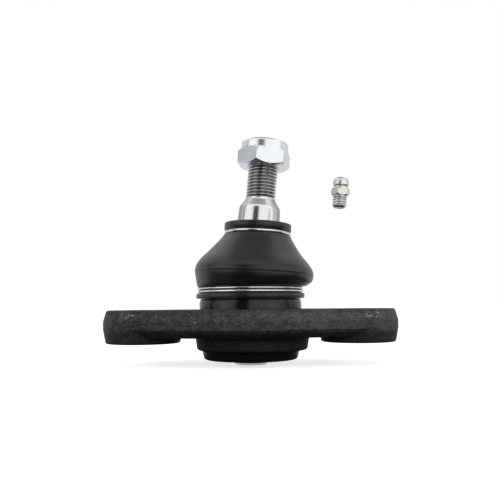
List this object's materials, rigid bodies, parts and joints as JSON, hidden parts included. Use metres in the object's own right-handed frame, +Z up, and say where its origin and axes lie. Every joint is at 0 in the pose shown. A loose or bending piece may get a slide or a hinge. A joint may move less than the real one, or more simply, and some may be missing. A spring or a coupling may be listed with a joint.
{
  "type": "suspension ball joint",
  "caption": "Bolt-on suspension ball joint: forged flange with socket, tapered ball stud, rubber dust boot with wire clips, lock nut and a loose grease nipple.",
  "frame": {"origin": "centre of the cover plate's boss face, on the socket's axis, where the joint stands", "axes": "+Z up along the socket's axis towards the stud, X through the two bolt holes"},
  "size_m": [0.134, 0.062, 0.1037],
  "materials": {
    "forged_steel": "dark shot-blasted forging with machined neck",
    "seat_plastic": "satin",
    "spring_steel": "satin",
    "cover_steel": "satin",
    "stud_steel": "turned",
    "boot_rubber": "satin",
    "clip_wire": "bright",
    "nut_zinc": "zinc plated",
    "nipple_zinc": "zinc plated"
  },
  "bodies": {
    "housing": {"housing_flange": "forged_steel", "upper_bearing_seat": "seat_plastic", "preload_spring": "spring_steel", "cover_plate": "cover_steel", "lower_boot_clip": "clip_wire", "grease_nipple": "nipple_zinc", "nipple_spring": "spring_steel"},
    "pressure_cup": {"pressure_cup": "seat_plastic"},
    "boot": {"dust_boot": "boot_rubber"},
    "boot_top": {"upper_boot_clip": "clip_wire"},
    "stud": {"ball_stud": "stud_steel"},
    "nut_core": {"nut_locking_insert": "seat_plastic"},
    "nut": {"lock_nut": "nut_zinc"},
    "check_ball": {"nipple_check_ball": "spring_steel"}
  },
  "joints": [
    {"name": "swing_fore_aft", "type": "hinge", "parent": "housing", "child": "boot", "pos_m": [0, 0, 0.02103], "axis": [1, 0, 0], "range_deg": [-16, 20], "deforming": ["dust_boot"]},
    {"name": "swing_side", "type": "hinge", "parent": "boot", "child": "boot_top", "pos_m": [0, 0, 0.02103], "axis": [0, 1, 0], "range_deg": [-23.35, 12.65], "deforming": ["dust_boot"]},
    {"name": "stud_spin", "type": "hinge", "parent": "boot_top", "child": "stud", "pos_m": [0, 0, 0.02103], "axis": [0.0932, 0.0349, 0.995], "continuous": true},
    {"name": "nut_travel", "type": "slide", "parent": "stud", "child": "nut_core", "axis": [0.0932, 0.0349, 0.995], "range_m": [-0.0135, 0.009]},
    {"name": "nut_turn", "type": "hinge", "parent": "nut_core", "child": "nut", "pos_m": [0.00653, 0.00245, 0.09078], "axis": [0.0932, 0.0349, 0.995], "range_deg": [-3241, 2161]},
    {"name": "cup_float", "type": "slide", "parent": "housing", "child": "pressure_cup", "axis": [0, 0, 1], "range_m": [-0.0003, 0], "stiffness_N_per_m": 20000, "springref_m": 0.0002, "deforming": ["preload_spring"]},
    {"name": "check_ball_press", "type": "slide", "parent": "housing", "child": "check_ball", "axis": [0.0958, 0, 0.9954], "range_m": [-0.0012, 0], "stiffness_N_per_m": 300, "springref_m": 0.001, "deforming": ["nipple_spring"]}
  ],
  "couplings": [
    {"joint": "nut_turn", "follows": "nut_travel", "rad_per_m": 4188.8}
  ]
}
